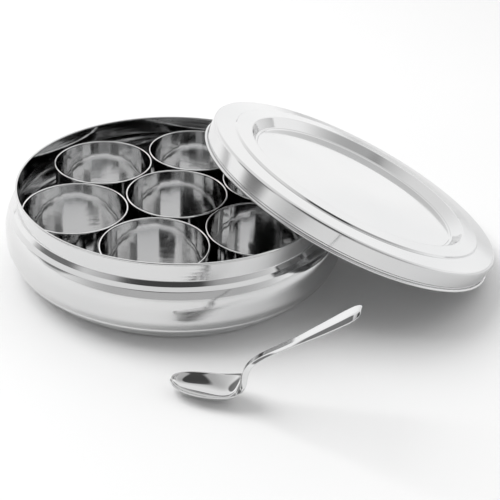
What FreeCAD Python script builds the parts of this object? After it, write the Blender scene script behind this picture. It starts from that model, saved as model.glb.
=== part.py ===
import FreeCAD, Part
import math
import os

# Seven-cup spice box in sheet steel: box, seven cups, a cover leaning on the box, and a spoon.
# Millimetres, +Z up. The origin is the centre of the box's flat base. The cover leans towards +X.

V = FreeCAD.Vector

# ---- driving dimensions -------------------------------------------------------------------
SHEET = 0.6                # sheet of the box and the cover
CUP_SHEET = 0.5            # sheet of the cups
CLEARANCE = 0.3            # gap kept between loose pieces that touch in use

# box, outer face
BASE_RADIUS = 92.3
FOOT_RADIUS = 97.6
FOOT_HEIGHT = 4.6
CREASE_RADIUS = 97.9
CREASE_HEIGHT = 6.4
BELLY_RADIUS = 106.9
BELLY_LOW = 19.0
BELLY_HIGH = 32.0
SHOULDER_RADIUS = 104.9
SHOULDER_HEIGHT = 38.8
SEAT_RADIUS = 101.4        # narrow seat that the cover's hem comes down to
SEAT_HEIGHT = 40.4
NECK_RADIUS = 99.2
NECK_FOOT_HEIGHT = 42.8
RIM_HEIGHT = 53.4          # centre of the curled rim
RIM_CURL = 0.75            # radius of the curl's section
RIM_RADIUS = 98.8

# cups
CUP_RIM_RADIUS = 32.4      # outermost radius, over the curl
CUP_CURL = 0.85
CUP_WALL_RADIUS = 31.2     # outer face of the wall
CUP_BASE_HEIGHT = SHEET + CLEARANCE
CUP_RIM_HEIGHT = 44.4      # centre of the curled rim
CUP_CORNER = 7.5           # rounding between the wall and the base
RING_RADIUS = 65.3
RING_START = 10.0          # degrees from +X to the first cup of the ring
RING_NAMES = ["right", "back_right", "back_left", "left", "front_left", "front_right"]

# cover, outer face, with heights above the centre of the hem's curl
HEM_CURL = 0.85
HEM_RADIUS = 100.75
SKIRT_RADIUS = 100.5
COVER_EDGE_HEIGHT = 12.7
STEP_RADIUS = 86.6
STEP_HEIGHT = 0.9
RING_FACE_HEIGHT = 13.7
CREST_RADIUS = 75.6
CREST_HEIGHT = 15.1
PANEL_RADIUS = 70.8
PANEL_HEIGHT = 9.0
COVER_TILT = 23.0          # degrees, top face turned towards +X
COVER_SIDE_SHIFT = -10.7

# spoon, in its own plane: s runs from the middle of the bowl towards the handle
SPOON_SHEET = 1.0
BOWL_HALF_LENGTH = 20.6
BOWL_HALF_WIDTH = 10.0
BOWL_DEPTH = 9.2
BOWL_FLAT = 0.3            # height at which the rounded bottom is pressed flat
SPOON_PLACE = V(-6.0, -145.4, 0)
SPOON_HEADING = -27.0      # degrees from +X to the handle
# the handle's underside seen from the side: distance s, height, rounding of the bend
HANDLE_SIDE = [(18.2, 5.6, 0), (21.2, 10.5, 4.0), (21.4, 26.0, 9.0), (76.8, 73.4, 0)]
# the handle seen from above: distance s and half width, from the bowl to the rounded end
HANDLE_PLAN = [(16.5, 4.4), (20.0, 4.2), (23.0, 3.5), (28.0, 3.1), (36.0, 3.3), (72.0, 6.2)]
HANDLE_END = 76.6


# ---- profiles and lathe work --------------------------------------------------------------
def line_direction(a, b):
    """Unit direction from corner a to corner b in the (radius, height) plane."""
    length = math.hypot(b[0] - a[0], b[1] - a[1])
    return (b[0] - a[0]) / length, (b[1] - a[1]) / length


def offset_corners(corners, distance):
    """Corners of the path moved to its left by distance, with the roundings adjusted."""
    moved = []
    last = len(corners) - 1
    for i, (r, z, rounding) in enumerate(corners):
        before = line_direction(corners[max(i - 1, 0)], corners[max(i, 1)])
        after = line_direction(corners[min(i, last - 1)], corners[min(i + 1, last)])
        turn = before[0] * after[1] - before[1] * after[0]
        normal_before = (-before[1], before[0])
        cosine = before[0] * after[0] + before[1] * after[1]
        shift = distance * turn / (1.0 + cosine)
        new_r = r + distance * normal_before[0] - before[0] * shift
        new_z = z + distance * normal_before[1] - before[1] * shift
        change = -distance if turn > 0 else distance
        moved.append((new_r, new_z, max(rounding + change, 0.0) if 0 < i < last else 0.0))
    return moved


def path_edges(corners):
    """Line and arc edges along the corners, each corner rounded by its third value."""
    edges = []
    here = V(corners[0][0], 0, corners[0][1])
    for i in range(1, len(corners)):
        corner = V(corners[i][0], 0, corners[i][1])
        rounding = corners[i][2]
        if i == len(corners) - 1 or rounding < 0.02:
            edges.append(Part.makeLine(here, corner))
            here = corner
            continue
        into = line_direction(corners[i - 1], corners[i])
        out = line_direction(corners[i], corners[i + 1])
        half_turn = 0.5 * math.acos(max(-1.0, min(1.0, into[0] * out[0] + into[1] * out[1])))
        setback = rounding * math.tan(half_turn)
        start = corner - V(into[0], 0, into[1]) * setback
        end = corner + V(out[0], 0, out[1]) * setback
        inward = V(out[0] - into[0], 0, out[1] - into[1]).normalize()
        middle = corner + inward * (rounding / math.cos(half_turn) - rounding)
        edges.append(Part.makeLine(here, start))
        edges.append(Part.Arc(start, middle, end).toShape())
        here = end
    return edges


def spun_sheet(outer_corners, thickness):
    """Solid of revolution of a sheet: outer face along the corners, inner face to their left."""
    inner_corners = offset_corners(outer_corners, thickness)
    outer_edges = path_edges(outer_corners)
    inner_edges = path_edges(inner_corners)
    outer_ends = [V(c[0], 0, c[1]) for c in (outer_corners[0], outer_corners[-1])]
    inner_ends = [V(c[0], 0, c[1]) for c in (inner_corners[0], inner_corners[-1])]
    closing = [Part.makeLine(a, b) for a, b in zip(outer_ends, inner_ends)]
    wire = Part.Wire(Part.__sortEdges__(outer_edges + inner_edges + closing))
    return Part.Face(wire).revolve(V(0, 0, 0), V(0, 0, 1), 360)


def curl(radius, height, section):
    """The rolled edge of a sheet, closed on itself."""
    return Part.makeTorus(radius, section, V(0, 0, height))


def one_solid(shape):
    """The single solid in a boolean result."""
    merged = shape.removeSplitter()
    assert len(merged.Solids) == 1 and merged.isValid()
    return merged.Solids[0]


# ---- pieces -------------------------------------------------------------------------------
def box_body():
    corners = [
        (0, 0, 0),
        (BASE_RADIUS, 0, 1.6),
        (FOOT_RADIUS, FOOT_HEIGHT, 1.2),
        (CREASE_RADIUS, CREASE_HEIGHT, 0.5),
        (BELLY_RADIUS - 3.6, 10.4, 5.0),
        (BELLY_RADIUS, BELLY_LOW, 9.0),
        (BELLY_RADIUS, BELLY_HIGH, 9.0),
        (SHOULDER_RADIUS, SHOULDER_HEIGHT, 1.0),
        (SEAT_RADIUS, SEAT_HEIGHT, 1.0),
        (NECK_RADIUS, NECK_FOOT_HEIGHT, 1.2),
        (NECK_RADIUS, RIM_HEIGHT, 0),
    ]
    sheet = spun_sheet(corners, SHEET)
    return one_solid(sheet.fuse(curl(RIM_RADIUS, RIM_HEIGHT, RIM_CURL)))


def cup():
    corners = [
        (0, CUP_BASE_HEIGHT, 0),
        (CUP_WALL_RADIUS, CUP_BASE_HEIGHT, CUP_CORNER),
        (CUP_WALL_RADIUS, CUP_RIM_HEIGHT, 0),
    ]
    sheet = spun_sheet(corners, CUP_SHEET)
    return one_solid(sheet.fuse(curl(CUP_RIM_RADIUS - CUP_CURL, CUP_RIM_HEIGHT, CUP_CURL)))


def cover():
    """The cover in its own frame: axis +Z, height 0 at the centre of the hem's curl."""
    corners = [
        (SKIRT_RADIUS, 0, 0),
        (SKIRT_RADIUS, COVER_EDGE_HEIGHT, 1.7),
        (STEP_RADIUS + 0.5, RING_FACE_HEIGHT, 0.5),
        (STEP_RADIUS - 0.5, RING_FACE_HEIGHT + STEP_HEIGHT, 0.7),
        (CREST_RADIUS, CREST_HEIGHT, 1.4),
        (PANEL_RADIUS, PANEL_HEIGHT, 1.2),
        (0, PANEL_HEIGHT, 0),
    ]
    sheet = spun_sheet(corners, SHEET)
    return one_solid(sheet.fuse(curl(HEM_RADIUS, 0, HEM_CURL)))


def leaning(shape):
    """Tilt the cover about Y, then set its hem on the ground and its panel on the box's rim."""
    tilt = math.radians(COVER_TILT)
    centre_z = HEM_RADIUS * math.sin(tilt) + HEM_CURL + CLEARANCE
    touch_x = RIM_RADIUS + RIM_CURL * math.sin(tilt)
    touch_z = RIM_HEIGHT + RIM_CURL * math.cos(tilt)
    reach = PANEL_HEIGHT - SHEET - CLEARANCE
    centre_x = touch_x + (math.cos(tilt) * (touch_z - centre_z) - reach) / math.sin(tilt)
    shape.rotate(V(0, 0, 0), V(0, 1, 0), COVER_TILT)
    shape.translate(V(centre_x, COVER_SIDE_SHIFT, centre_z))
    print("cover centre", round(centre_x, 2), COVER_SIDE_SHIFT, round(centre_z, 2))
    return shape


def ellipsoid(half_length, half_width, half_height, centre_z):
    matrix = FreeCAD.Matrix()
    matrix.scale(half_length, half_width, half_height)
    solid = Part.makeSphere(1.0).transformGeometry(matrix)
    solid.translate(V(0, 0, centre_z))
    return solid


def handle():
    """A bent strip cut to a tapering outline with a rounded end."""
    width = 4 * HANDLE_PLAN[-1][1]
    height = 2 * HANDLE_SIDE[-1][1]
    lower = path_edges(HANDLE_SIDE)
    upper_corners = offset_corners(HANDLE_SIDE, SPOON_SHEET)
    ends = [
        Part.makeLine(V(a[0], 0, a[1]), V(b[0], 0, b[1]))
        for a, b in ((HANDLE_SIDE[0], upper_corners[0]), (HANDLE_SIDE[-1], upper_corners[-1]))
    ]
    side = Part.Face(Part.Wire(Part.__sortEdges__(lower + path_edges(upper_corners) + ends)))
    side.translate(V(0, -width / 2, 0))
    strip = side.extrude(V(0, width, 0))
    near = [V(s, -half, 0) for s, half in HANDLE_PLAN]
    far = [V(s, half, 0) for s, half in reversed(HANDLE_PLAN)]
    edge = Part.BSplineCurve()
    edge.interpolate(near)
    other_edge = Part.BSplineCurve()
    other_edge.interpolate(far)
    outline = Part.Wire([
        edge.toShape(),
        Part.Arc(near[-1], V(HANDLE_END, 0, 0), far[0]).toShape(),
        other_edge.toShape(),
        Part.makeLine(far[-1], near[0]),
    ])
    return strip.common(Part.Face(outline).extrude(V(0, 0, height)))


def spoon():
    outer = ellipsoid(BOWL_HALF_LENGTH, BOWL_HALF_WIDTH, BOWL_DEPTH, BOWL_DEPTH)
    hollow = ellipsoid(
        BOWL_HALF_LENGTH - SPOON_SHEET,
        BOWL_HALF_WIDTH - SPOON_SHEET,
        BOWL_DEPTH - SPOON_SHEET - BOWL_FLAT,
        BOWL_DEPTH,
    )
    span = 2 * BOWL_HALF_LENGTH    # larger than the bowl on every side
    keep = Part.makeBox(2 * span, 2 * span, BOWL_DEPTH - BOWL_FLAT, V(-span, -span, BOWL_FLAT))
    bowl = outer.common(keep).cut(hollow)
    shape = one_solid(bowl.fuse(handle().cut(hollow)))
    shape.rotate(V(0, 0, 0), V(0, 0, 1), SPOON_HEADING)
    shape.translate(SPOON_PLACE)
    return shape


# ---- write every piece --------------------------------------------------------------------
def write(name, shape):
    shape.exportStep("parts/" + name + ".step")
    print(name, "volume", round(shape.Volume, 1), "box", shape.BoundBox)


os.makedirs("parts", exist_ok=True)
write("box_body", box_body())
write("cup_center", cup())
for place, ring_name in enumerate(RING_NAMES):
    angle = math.radians(RING_START + 60.0 * place)
    ring_cup = cup()
    ring_cup.translate(V(RING_RADIUS * math.cos(angle), RING_RADIUS * math.sin(angle), 0))
    write("cup_" + ring_name, ring_cup)
write("lid", leaning(cover()))
write("spoon", spoon())
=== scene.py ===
"""Looks of the seven-cup steel spice box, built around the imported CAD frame, in metres."""
import math
import bpy
from mathutils import Matrix, Vector


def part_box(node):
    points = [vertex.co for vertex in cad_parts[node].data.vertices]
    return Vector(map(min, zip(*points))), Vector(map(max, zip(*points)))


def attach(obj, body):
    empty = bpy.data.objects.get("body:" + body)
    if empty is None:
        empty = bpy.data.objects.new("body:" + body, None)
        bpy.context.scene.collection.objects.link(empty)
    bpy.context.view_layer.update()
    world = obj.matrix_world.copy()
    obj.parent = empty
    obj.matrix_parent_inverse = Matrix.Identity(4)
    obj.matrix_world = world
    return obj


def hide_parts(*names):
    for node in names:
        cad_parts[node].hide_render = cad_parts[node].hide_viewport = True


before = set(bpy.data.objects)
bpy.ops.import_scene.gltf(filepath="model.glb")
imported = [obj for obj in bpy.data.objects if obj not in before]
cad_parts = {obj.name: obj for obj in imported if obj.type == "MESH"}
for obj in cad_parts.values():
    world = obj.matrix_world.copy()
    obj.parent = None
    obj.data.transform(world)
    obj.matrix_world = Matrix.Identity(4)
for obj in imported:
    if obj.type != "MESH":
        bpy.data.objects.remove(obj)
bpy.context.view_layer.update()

MM = 0.001

# ---- driving dimensions, millimetres and degrees --------------------------------------------
SHEET = 0.6
CUP_SHEET = 0.5
RIM_CURL = 0.75
HEM_CURL = 0.85
CUP_CURL = 0.55            # thinner than the CAD cup's bead
CUP_FLOOR = 3.4            # from the cup's underside to its inner floor, higher than in CAD
CUP_CORNER = 8.2           # rounding between a cup's wall and its base, outside
CUP_INNER_CORNER = 3.0     # and inside
CUP_RIM_GAP = 0.25         # a cup's thin rim stays this far inside its CAD bead
CUP_RIM_LIP = 0.45         # a cup's rim stands out from the wall by this much
HEM_LIP = 0.25             # the lid's skirt stands in from the hem's middle by this much
COVER_TILT = 23.0
SPOON_HEADING = -27.0
SPOON_PLACE = Vector((-6.0, -145.4, 0.0))

# ---- studio: metres, degrees, and millimetres for the lens -----------------------------------
CAMERA_EYE = Vector((-85.2, -537.9, 334.2)) * MM
CAMERA_TARGET = Vector((49.2, -2.1, 0.0)) * MM
CAMERA_ROLL = 3.38
CAMERA_LENS = 69.8
CAMERA_SENSOR = 36.0
FLOOR_HALF = 12.0
LIGHT_PLACE = (-0.9, 0.5, 1.5)
LIGHT_SIZE = (1.2, 1.2)
LIGHT_POWER = 20.0
# Each row: a direction, the cosines where the change starts and ends, and the strengths there.
SURROUNDINGS = [
    ((-0.15, -0.95, 0.20), 0.1, 0.8, 1.2, 0.55),
    ((0.0, 0.0, 1.0), 0.2, 0.75, 1.0, 0.8),
    ((-0.20, -0.62, 0.74), 0.90, 0.94, 1.0, 0.15),
    ((-0.93, 0.08, 0.35), 0.92, 0.96, 1.0, 0.2),
]

# ---- fineness of the meshes ------------------------------------------------------------------
BOX_SEGMENTS = 288
CUP_SEGMENTS = 176
CURL_STEPS = 20
CORNER_STEP = 9            # degrees of a rounded corner in one stretch
SHARP_BELOW = 0.02         # a corner rounded by less than this is left sharp


def extent(node):
    """Lowest and highest corner of a CAD node's box, in millimetres."""
    low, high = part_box(node)
    return Vector(low) / MM, Vector(high) / MM


# ---- lathe work ---------------------------------------------------------------------------
def unit(a, b):
    """Unit vector from a to b, as two numbers."""
    length = math.hypot(b[0] - a[0], b[1] - a[1])
    return (b[0] - a[0]) / length, (b[1] - a[1]) / length


def offset_path(corners, distance):
    """Corners moved to the left of the path by distance, with the roundings adjusted."""
    moved = []
    last = len(corners) - 1
    for i, (r, z, rounding) in enumerate(corners):
        before = unit(corners[max(i - 1, 0)], corners[max(i, 1)])
        after = unit(corners[min(i, last - 1)], corners[min(i + 1, last)])
        turn = before[0] * after[1] - before[1] * after[0]
        cosine = before[0] * after[0] + before[1] * after[1]
        shift = distance * turn / (1.0 + cosine)
        change = -distance if turn > 0 else distance
        moved.append((
            r - distance * before[1] - before[0] * shift,
            z + distance * before[0] - before[1] * shift,
            max(rounding + change, 0.0) if 0 < i < last else 0.0,
        ))
    return moved


def line_span(a, b):
    """One straight stretch of a profile: its ends, each with the normal on the right."""
    along = unit(a, b)
    normal = (along[1], -along[0])
    return (a[0], a[1]), normal, (b[0], b[1]), normal


def arc_spans(centre, radius, start, end, steps):
    """Stretches of an arc about centre from one angle to another, in degrees."""
    facing = 1.0 if end > start else -1.0
    points = []
    for k in range(steps + 1):
        angle = math.radians(start + (end - start) * k / steps)
        out = (math.cos(angle), math.sin(angle))
        point = (centre[0] + radius * out[0], centre[1] + radius * out[1])
        points.append((point, (facing * out[0], facing * out[1])))
    return [(*points[k], *points[k + 1]) for k in range(steps)]


def path_spans(corners):
    """Stretches along the corners, each corner rounded by its third value."""
    spans = []
    here = corners[0][:2]
    for i in range(1, len(corners)):
        corner = corners[i]
        if i == len(corners) - 1 or corner[2] < SHARP_BELOW:
            spans.append(line_span(here, corner))
            here = corner[:2]
            continue
        into = unit(corners[i - 1], corner)
        out = unit(corner, corners[i + 1])
        turn = into[0] * out[1] - into[1] * out[0]
        angle = math.acos(max(-1.0, min(1.0, into[0] * out[0] + into[1] * out[1])))
        setback = corner[2] * math.tan(angle / 2)
        begin = (corner[0] - into[0] * setback, corner[1] - into[1] * setback)
        side = 1.0 if turn > 0 else -1.0
        centre = (begin[0] - side * into[1] * corner[2], begin[1] + side * into[0] * corner[2])
        first = math.degrees(math.atan2(begin[1] - centre[1], begin[0] - centre[0]))
        sweep = side * math.degrees(angle)
        steps = max(3, math.ceil(math.degrees(angle) / CORNER_STEP))
        spans.append(line_span(here, begin))
        spans += arc_spans(centre, corner[2], first, first + sweep, steps)
        here = spans[-1][2]
    return spans


def curled_profile(outer, inner, centre, radius):
    """Closed profile: along one face of the sheet, round its curl, and back along the other face."""
    side = 1.0 if outer[-1][1] > outer[-2][1] else -1.0
    across = [max(-1.0, min(1.0, (face[-1][0] - centre[0]) / radius)) for face in (outer, inner)]
    first, last = (math.degrees(math.acos(value)) for value in across)
    if side > 0:
        first, last = -first, 360.0 - last
    else:
        first, last = last, first + 360.0
    faces = []
    for face, angle in ((outer, first if side > 0 else last), (inner, last if side > 0 else first)):
        meet = centre[1] + radius * math.sin(math.radians(angle))
        faces.append(face[:-1] + [(face[-1][0], meet, 0.0)])
    around = arc_spans(centre, radius, first, last, CURL_STEPS)
    if side > 0:
        return path_spans(faces[0]) + around + path_spans(faces[1][::-1])
    return path_spans(faces[1]) + around + path_spans(faces[0][::-1])


def placed(name, data):
    """New object that holds data, in the scene."""
    thing = bpy.data.objects.new(name, data)
    bpy.context.scene.collection.objects.link(thing)
    return thing


def lathe(name, spans, segments):
    """Mesh object turned about Z from the profile's stretches, shaded by its true normals."""
    stops = [spans[0][0]] + [span[2] for span in spans]
    rings, verts = [], []
    for r, z in stops:
        if r < 1e-6:
            rings.append([len(verts)] * segments)
            verts.append((0.0, 0.0, z * MM))
            continue
        rings.append(list(range(len(verts), len(verts) + segments)))
        for k in range(segments):
            angle = 2 * math.pi * k / segments
            verts.append((r * MM * math.cos(angle), r * MM * math.sin(angle), z * MM))
    faces, normals = [], []
    for i, (_, start_normal, _, end_normal) in enumerate(spans):
        low, high = rings[i], rings[i + 1]
        for k in range(segments):
            after = (k + 1) % segments
            corners = [(low[k], start_normal, k), (low[after], start_normal, after),
                       (high[after], end_normal, after), (high[k], end_normal, k)]
            if low[0] == low[1]:
                corners.pop(1)
            if high[0] == high[1]:
                corners.pop(2)
            faces.append([corner[0] for corner in corners])
            for _, normal, place in corners:
                angle = 2 * math.pi * place / segments
                normals.append((normal[0] * math.cos(angle), normal[0] * math.sin(angle), normal[1]))
    mesh = bpy.data.meshes.new(name)
    mesh.from_pydata(verts, [], faces)
    mesh.shade_smooth()
    mesh.normals_split_custom_set(normals)
    return placed(name, mesh)


# ---- materials ----------------------------------------------------------------------------
BRUSHED = 0.4              # how far a spun surface spreads its reflections across the spin lines
GRAIN_HEIGHT = 0.0012 * MM
HAIR_HEIGHT = 0.001 * MM


class Nodes:
    """Small helper for building a material's nodes."""

    def __init__(self, name):
        self.material = bpy.data.materials.new(name)
        self.material.use_nodes = True
        self.tree = self.material.node_tree
        self.shader = self.tree.nodes["Principled BSDF"]

    def add(self, kind, **values):
        node = self.tree.nodes.new(kind)
        for key, value in values.items():
            setattr(node, key, value)
        return node

    def link(self, source, target):
        self.tree.links.new(source, target)

    def math(self, operation, a, b=0.0):
        node = self.add("ShaderNodeMath", operation=operation)
        for socket, value in zip(node.inputs, (a, b)):
            if isinstance(value, (int, float)):
                socket.default_value = value
            else:
                self.link(value, socket)
        return node.outputs[0]

    def noise(self, vector, scale, detail=2.0, dimensions="3D", w=None, distortion=0.0):
        node = self.add("ShaderNodeTexNoise", noise_dimensions=dimensions)
        node.inputs["Scale"].default_value = scale
        node.inputs["Detail"].default_value = detail
        node.inputs["Distortion"].default_value = distortion
        if vector is not None:
            self.link(vector, node.inputs["Vector"])
        if w is not None:
            self.link(w, node.inputs["W"])
        return node.outputs["Fac"]

    def remap(self, value, from_low, from_high, to_low, to_high):
        node = self.add("ShaderNodeMapRange", interpolation_type="SMOOTHSTEP")
        self.link(value, node.inputs["Value"])
        node.inputs["From Min"].default_value = from_low
        node.inputs["From Max"].default_value = from_high
        node.inputs["To Min"].default_value = to_low
        node.inputs["To Max"].default_value = to_high
        return node.outputs["Result"]

    def bump(self, height, distance, strength, normal=None):
        node = self.add("ShaderNodeBump")
        node.inputs["Distance"].default_value = distance
        node.inputs["Strength"].default_value = strength
        self.link(height, node.inputs["Height"])
        if normal is not None:
            self.link(normal, node.inputs["Normal"])
        return node.outputs["Normal"]


def steel(name, shade, roughness, spun=True, lines=0.5, wave=0.05, flutes=0.0, rings=0.0):
    """Polished sheet steel: spin lines round the axis, hairline scratches and faint smudges.

    wave and rings are heights in millimetres; flutes is a share of the radius.
    """
    n = Nodes(name)
    place = n.add("ShaderNodeTexCoord").outputs["Object"]
    axes = n.add("ShaderNodeSeparateXYZ")
    n.link(place, axes.inputs[0])
    x, y, z = axes.outputs
    smudge = n.noise(place, 32.0, detail=4.0, distortion=0.6)
    cloud = n.noise(place, 9.0, detail=2.0)
    stretch = n.add("ShaderNodeMapping")
    stretch.inputs["Rotation"].default_value = (0.3, 0.5, 0.7)
    stretch.inputs["Scale"].default_value = (900.0, 35.0, 60.0)
    n.link(place, stretch.inputs["Vector"])
    hairs = n.remap(n.noise(stretch.outputs[0], 1.0, detail=1.0), 0.66, 0.74, 0.0, 1.0)
    if spun:
        radius = n.math("SQRT", n.math("ADD", n.math("MULTIPLY", x, x), n.math("MULTIPLY", y, y)))
        along = n.math("ADD", radius, n.math("MULTIPLY", z, 1.37))
        grain = n.noise(None, 2600.0, detail=3.0, dimensions="1D", w=along)
    else:
        grain = n.noise(place, 1800.0, detail=2.0)
    rough = n.math("ADD", n.remap(smudge, 0.3, 0.75, roughness - 0.02, roughness + 0.03),
                   n.math("MULTIPLY", hairs, 0.05))
    n.link(rough, n.shader.inputs["Roughness"])
    tint = n.add("ShaderNodeMix", data_type="RGBA")
    n.link(n.remap(cloud, 0.35, 0.7, 0.0, 1.0), tint.inputs["Factor"])
    tint.inputs["A"].default_value = (shade, shade, shade, 1.0)
    tint.inputs["B"].default_value = (shade * 0.94, shade * 0.945, shade * 0.95, 1.0)
    n.link(tint.outputs["Result"], n.shader.inputs["Base Color"])
    n.shader.inputs["Metallic"].default_value = 1.0
    waves = n.bump(cloud, wave * MM, 1.0)
    if flutes:
        outward = n.add("ShaderNodeCombineXYZ")
        n.link(n.math("DIVIDE", x, radius), outward.inputs["X"])
        n.link(n.math("DIVIDE", y, radius), outward.inputs["Y"])
        fan = n.noise(outward.outputs[0], 3.6, detail=1.0)
        waves = n.bump(n.math("MULTIPLY", fan, radius), flutes, 1.0, normal=waves)
    if rings:
        ring = n.noise(None, 420.0, detail=2.0, dimensions="1D", w=along)
        waves = n.bump(ring, rings * MM, 1.0, normal=waves)
    fine = n.bump(grain, GRAIN_HEIGHT, lines, normal=waves)
    n.link(n.bump(hairs, HAIR_HEIGHT, 0.4, normal=fine), n.shader.inputs["Normal"])
    if spun:
        n.shader.inputs["Anisotropic"].default_value = BRUSHED
        tangent = n.add("ShaderNodeTangent", direction_type="RADIAL", axis="Z")
        n.link(tangent.outputs[0], n.shader.inputs["Tangent"])
    return n.material


def floor_paint():
    """Matte white studio floor, faintly clouded."""
    n = Nodes("studio_floor_white")
    place = n.add("ShaderNodeTexCoord").outputs["Object"]
    cloud = n.noise(place, 3.0, detail=3.0)
    tint = n.add("ShaderNodeMix", data_type="RGBA")
    n.link(cloud, tint.inputs["Factor"])
    tint.inputs["A"].default_value = (0.86, 0.86, 0.86, 1.0)
    tint.inputs["B"].default_value = (0.89, 0.89, 0.89, 1.0)
    n.link(tint.outputs["Result"], n.shader.inputs["Base Color"])
    n.link(n.remap(cloud, 0.2, 0.8, 0.75, 0.85), n.shader.inputs["Roughness"])
    return n.material


box_steel = steel("box_steel", 0.70, 0.11, flutes=0.006, rings=0.032)
cup_steel = steel("cup_steel", 0.78, 0.085, wave=0.02, lines=0.25, flutes=0.014)
lid_steel = steel("lid_steel", 0.69, 0.09, rings=0.003)
spoon_steel = steel("spoon_steel", 0.74, 0.06, spun=False, lines=0.08)


def finish_piece(piece, material, node):
    """Give a piece its material, hide the CAD node it stands for, and hang the piece on that node's
    body.
    """
    piece.data.materials.append(material)
    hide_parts(node)
    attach(piece, node)


# ---- box ----------------------------------------------------------------------------------
def box_body():
    """Outer box: flat base, foot, round belly, cove and a straight neck with a curled rim."""
    low, high = extent("box_body")
    belly = high.x
    rim_height = high.z - RIM_CURL
    neck = belly - 7.7
    outer = [
        (0.0, 0.0, 0.0),
        (belly - 14.6, 0.0, 1.6),
        (belly - 9.3, 4.6, 1.2),
        (belly - 9.0, 6.4, 0.5),
        (belly - 3.6, 10.4, 5.0),
        (belly, 19.0, 9.0),
        (belly, 33.1, 26.0),
        (belly - 2.8, 38.8, 0.8),
        (belly - 5.5, 40.4, 1.0),
        (neck, 42.8, 1.2),
        (neck, rim_height, 0.0),
    ]
    inner = offset_path(outer, SHEET)
    outer[5:5] = [(belly - 2.75, 12.43, 0.25), (belly - 2.79, 13.31, 0.12), (belly - 2.13, 13.9, 0.25)]
    profile = curled_profile(outer, inner, (neck - 0.4, rim_height), RIM_CURL)
    piece = lathe("box_shell", profile, BOX_SEGMENTS)
    finish_piece(piece, box_steel, "box_body")


# ---- cups ---------------------------------------------------------------------------------
def cup(node):
    """Straight-sided cup with a rolled rim, standing where its CAD node stands."""
    low, high = extent(node)
    rim = (high.x - low.x) / 2 - CUP_RIM_GAP
    wall = rim - CUP_RIM_LIP
    rim_height = high.z - low.z - CUP_CURL
    inside = wall - CUP_SHEET
    outer = [(0.0, 0.0, 0.0), (wall, 0.0, CUP_CORNER), (wall, rim_height, 0.0)]
    inner = [(0.0, CUP_FLOOR, 0.0), (inside, CUP_FLOOR, CUP_INNER_CORNER), (inside, rim_height, 0.0)]
    profile = curled_profile(outer, inner, (rim - CUP_CURL, rim_height), CUP_CURL)
    piece = lathe(node + "_shell", profile, CUP_SEGMENTS)
    piece.location = Vector(((low.x + high.x) / 2, (low.y + high.y) / 2, low.z)) * MM
    finish_piece(piece, cup_steel, node)


# ---- lid ----------------------------------------------------------------------------------
def lid():
    """Pressed lid, leaning: recessed panel, step, shoulder, grooved skirt and rolled hem."""
    low, high = extent("lid")
    hem = (high.y - low.y) / 2 - HEM_CURL
    skirt = hem - HEM_LIP
    pressed = [
        (0.0, 8.8, 0.0),
        (hem - 31.6, 8.8, 0.3),
        (hem - 31.0, 9.3, 0.3),
        (hem - 29.75, 9.3, 0.7),
        (hem - 25.15, 15.1, 1.2),
        (hem - 14.6, 14.7, 0.35),
        (hem - 13.8, 13.6, 0.4),
        (skirt, 12.7, 1.7),
    ]
    outer = pressed + [(skirt, 2.4, 0.5), (skirt - 0.5, 1.9, 0.2), (skirt - 0.5, 0.0, 0.0)]
    inner = offset_path(pressed + [(skirt, 0.0, 0.0)], -SHEET)
    tilt = math.radians(COVER_TILT)
    profile = curled_profile(outer, inner, (hem, 0.0), HEM_CURL)
    piece = lathe("lid_shell", profile, BOX_SEGMENTS)
    centre = Vector((
        low.x + hem * math.cos(tilt) + HEM_CURL,
        (low.y + high.y) / 2,
        low.z + hem * math.sin(tilt) + HEM_CURL,
    ))
    piece.matrix_world = Matrix.Translation(centre * MM) @ Matrix.Rotation(tilt, 4, "Y")
    finish_piece(piece, lid_steel, "lid")


# ---- spoon --------------------------------------------------------------------------------
SPOON_SHEET = 0.9
SPOON_SMOOTHING = 3
SPOON_ACROSS = 20          # faces from one edge to the other
BOWL_POWER = 2.2           # how square the bowl's cross-section is
BEVEL_FROM = 0.55          # share of the handle's half width that is flat
BEVEL_POWER = 1.1
HEEL_STATION = 8           # the bowl's cross-section starts to turn into the handle's here
NECK_STATION = 11          # and from here on it is the handle's
HANDLE_ROLL = math.tan(math.radians(9.0))
# Stations from the tip to the handle's end: distance s and height of the middle line,
# then distance, half width, near height and far height of the edges.
SPOON_STATIONS = [
    (-19.9, 6.8, -19.6, 1.4, 7.6, 7.8),
    (-19.0, 4.9, -18.4, 4.0, 7.4, 7.9),
    (-16.2, 2.8, -15.4, 6.6, 7.2, 7.8),
    (-11.0, 1.5, -10.5, 8.7, 7.2, 7.7),
    (-4.0, 1.1, -4.0, 9.8, 7.4, 8.0),
    (3.0, 1.1, 2.7, 9.9, 7.7, 8.8),
    (9.5, 1.3, 8.6, 9.3, 8.4, 10.4),
    (14.3, 3.0, 14.4, 8.6, 9.4, 12.6),
    (17.0, 6.4, 19.2, 7.4, 11.2, 15.0),
    (18.3, 11.2, 21.8, 5.8, 13.8, 17.6),
    (18.7, 16.0, 22.7, 4.5, 17.6, 20.6),
    (19.2, 20.6, 22.8, 3.7, 21.4, 23.6),
    (20.6, 24.8, 23.3, 3.3, 25.0, 26.0),
    (23.5, 29.3, 25.2, 3.15, 28.9, 29.2),
    (27.5, 33.4, 28.6, 3.1, 32.9, 32.9),
    (33.0, 37.9, 33.5, 3.0, 37.4, 37.4),
    (40.0, 43.1, 40.3, 3.1, 42.7, 42.7),
    (50.0, 51.8, 50.4, 3.9, 50.8, 50.8),
    (58.0, 59.0, 58.5, 4.7, 57.4, 57.4),
    (65.0, 65.4, 65.6, 5.4, 63.5, 63.5),
    (70.0, 70.0, 70.6, 5.8, 68.0, 68.0),
    (72.6, 71.9, 73.1, 5.3, 70.0, 70.0),
    (74.4, 73.0, 74.8, 4.2, 71.4, 71.4),
    (75.4, 73.4, 75.6, 2.6, 72.4, 72.4),
]


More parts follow.
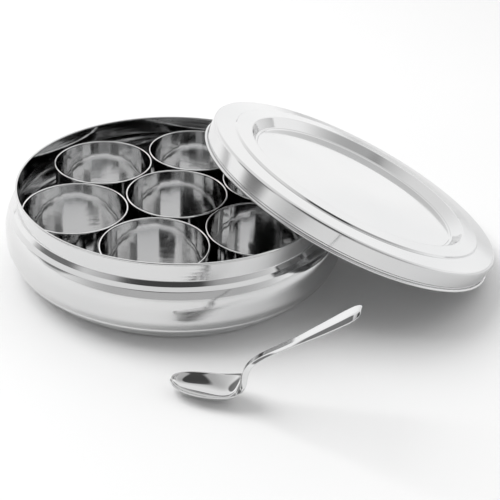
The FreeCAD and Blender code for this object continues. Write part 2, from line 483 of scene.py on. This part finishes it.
def spoon():
    """Pressed spoon: an egg-shaped bowl, a steep neck and a widening, crowned handle."""
    heading = math.radians(SPOON_HEADING)
    turned = Matrix.Translation(SPOON_PLACE * MM) @ Matrix.Rotation(heading, 4, "Z")
    verts, faces = [], []
    for station, (s, middle, edge_s, half, near, far) in enumerate(SPOON_STATIONS):
        handle = (station - HEEL_STATION) / (NECK_STATION - HEEL_STATION)
        handle = max(0.0, min(1.0, handle))
        for k in range(SPOON_ACROSS + 1):
            t = -1.0 + 2.0 * k / SPOON_ACROSS
            bowl_share = abs(t) ** BOWL_POWER
            bevel_share = (max(abs(t) - BEVEL_FROM, 0.0) / (1.0 - BEVEL_FROM)) ** BEVEL_POWER
            share = bowl_share + (bevel_share - bowl_share) * handle
            height = middle + ((near if t < 0 else far) - middle) * share
            height += HANDLE_ROLL * handle * t * half
            point = Vector((s + (edge_s - s) * share, t * half, height))
            verts.append(turned @ (point * MM))
    for i in range(len(SPOON_STATIONS) - 1):
        for k in range(SPOON_ACROSS):
            a = i * (SPOON_ACROSS + 1) + k
            b = a + SPOON_ACROSS + 1
            faces.append((a, b, b + 1, a + 1))
    mesh = bpy.data.meshes.new("spoon_shell")
    mesh.from_pydata(verts, [], faces)
    mesh.shade_smooth()
    piece = placed("spoon_shell", mesh)
    solid = piece.modifiers.new("sheet", "SOLIDIFY")
    solid.thickness = SPOON_SHEET * MM
    solid.offset = 0.0
    smooth = piece.modifiers.new("smooth", "SUBSURF")
    smooth.levels = SPOON_SMOOTHING
    smooth.render_levels = SPOON_SMOOTHING
    finish_piece(piece, spoon_steel, "spoon")


# ---- studio -------------------------------------------------------------------------------
def studio_floor():
    """Large level floor that everything stands on."""
    sides = ((-1, -1), (1, -1), (1, 1), (-1, 1))
    mesh = bpy.data.meshes.new("studio_floor")
    mesh.from_pydata([(x * FLOOR_HALF, y * FLOOR_HALF, 0) for x, y in sides], [], [(0, 1, 2, 3)])
    floor = placed("studio_floor", mesh)
    mesh.materials.append(floor_paint())


def studio_light():
    """White surroundings, greyer on the side the spoon lies on, with two dark soft patches."""
    world = bpy.data.worlds.new("studio")
    bpy.context.scene.world = world
    world.use_nodes = True
    tree = world.node_tree
    direction = tree.nodes.new("ShaderNodeTexCoord").outputs["Generated"]
    strength = None
    for toward, start, end, low, high in SURROUNDINGS:
        facing = tree.nodes.new("ShaderNodeVectorMath")
        facing.operation = "DOT_PRODUCT"
        facing.inputs[1].default_value = Vector(toward).normalized()
        tree.links.new(direction, facing.inputs[0])
        fade = tree.nodes.new("ShaderNodeMapRange")
        fade.interpolation_type = "SMOOTHSTEP"
        fade.inputs["From Min"].default_value = start
        fade.inputs["From Max"].default_value = end
        fade.inputs["To Min"].default_value = low
        fade.inputs["To Max"].default_value = high
        tree.links.new(facing.outputs["Value"], fade.inputs["Value"])
        if strength is None:
            strength = fade.outputs["Result"]
            continue
        product = tree.nodes.new("ShaderNodeMath")
        product.operation = "MULTIPLY"
        tree.links.new(strength, product.inputs[0])
        tree.links.new(fade.outputs["Result"], product.inputs[1])
        strength = product.outputs[0]
    tree.nodes["Background"].inputs["Color"].default_value = (1.0, 1.0, 1.0, 1.0)
    tree.links.new(strength, tree.nodes["Background"].inputs["Strength"])


def soft_box(name, place, target, size, power):
    """Rectangular soft light that mirrors in nothing."""
    light = bpy.data.lights.new(name, "AREA")
    light.shape = "RECTANGLE"
    light.size, light.size_y = size
    light.energy = power
    lamp = placed(name, light)
    lamp.visible_glossy = False
    lamp.location = place
    lamp.rotation_euler = (Vector(target) - Vector(place)).to_track_quat("-Z", "Y").to_euler()


def camera(eye, target, roll, lens):
    """Scene camera at eye, looking at target, turned by roll degrees about its line of sight."""
    forward = (target - eye).normalized()
    level = forward.cross(Vector((0, 0, 1))).normalized()
    upright = level.cross(forward)
    turn = math.radians(roll)
    right = level * math.cos(turn) + upright * math.sin(turn)
    up = upright * math.cos(turn) - level * math.sin(turn)
    data = bpy.data.cameras.new("camera")
    data.lens = lens
    data.sensor_width = CAMERA_SENSOR
    data.clip_start = 0.01
    data.clip_end = 50.0
    view = placed("camera", data)
    turned = Matrix((right, up, -forward)).transposed().to_4x4()
    view.matrix_world = Matrix.Translation(eye) @ turned
    bpy.context.scene.camera = view


box_body()
for node in sorted(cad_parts):
    if node.startswith("cup_"):
        cup(node)
lid()
spoon()
studio_floor()
studio_light()
soft_box("key_light", LIGHT_PLACE, (0.0, 0.0, 0.0), LIGHT_SIZE, LIGHT_POWER)
camera(CAMERA_EYE, CAMERA_TARGET, CAMERA_ROLL, CAMERA_LENS)
bpy.context.scene.view_settings.view_transform = "Standard"
